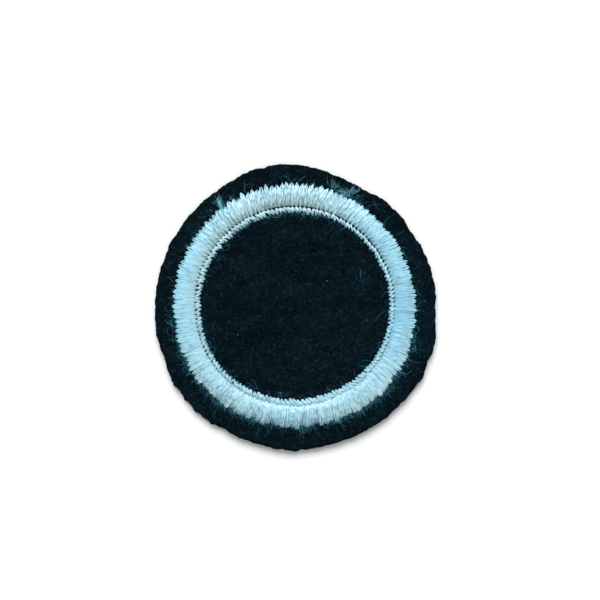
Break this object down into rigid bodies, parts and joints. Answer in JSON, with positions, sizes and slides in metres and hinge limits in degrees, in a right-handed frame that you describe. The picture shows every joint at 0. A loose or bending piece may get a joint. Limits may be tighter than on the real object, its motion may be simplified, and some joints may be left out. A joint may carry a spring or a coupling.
{
  "type": "military patch",
  "caption": "Round felt sleeve patch with an embroidered satin ring and a narrow zigzag row inside it; lies flat or is sewn on by its back.",
  "frame": {"origin": "middle of the outline's box, on the plane of the back, which is the lowest face", "axes": "+Z out of the face, through the thickness; +Y towards the patch's top edge as it is pictured; +X to the right"},
  "size_m": [0.0568, 0.058, 0.0021],
  "materials": {
    "black_felt": "matte black wool felt with a faint blue-green cast, fuzzy on the face and along the cut edge",
    "white_thread": "lustrous twisted embroidery thread, white with an icy blue cast, laid in close radial satin stitches",
    "lower_thread": "matte white cotton lower thread, pulled flush with the felt"
  },
  "bodies": {
    "root": {"felt_disc": "black_felt", "satin_band": "white_thread", "zigzag_row": "white_thread", "back_stitching": "lower_thread"}
  },
  "joints": []
}
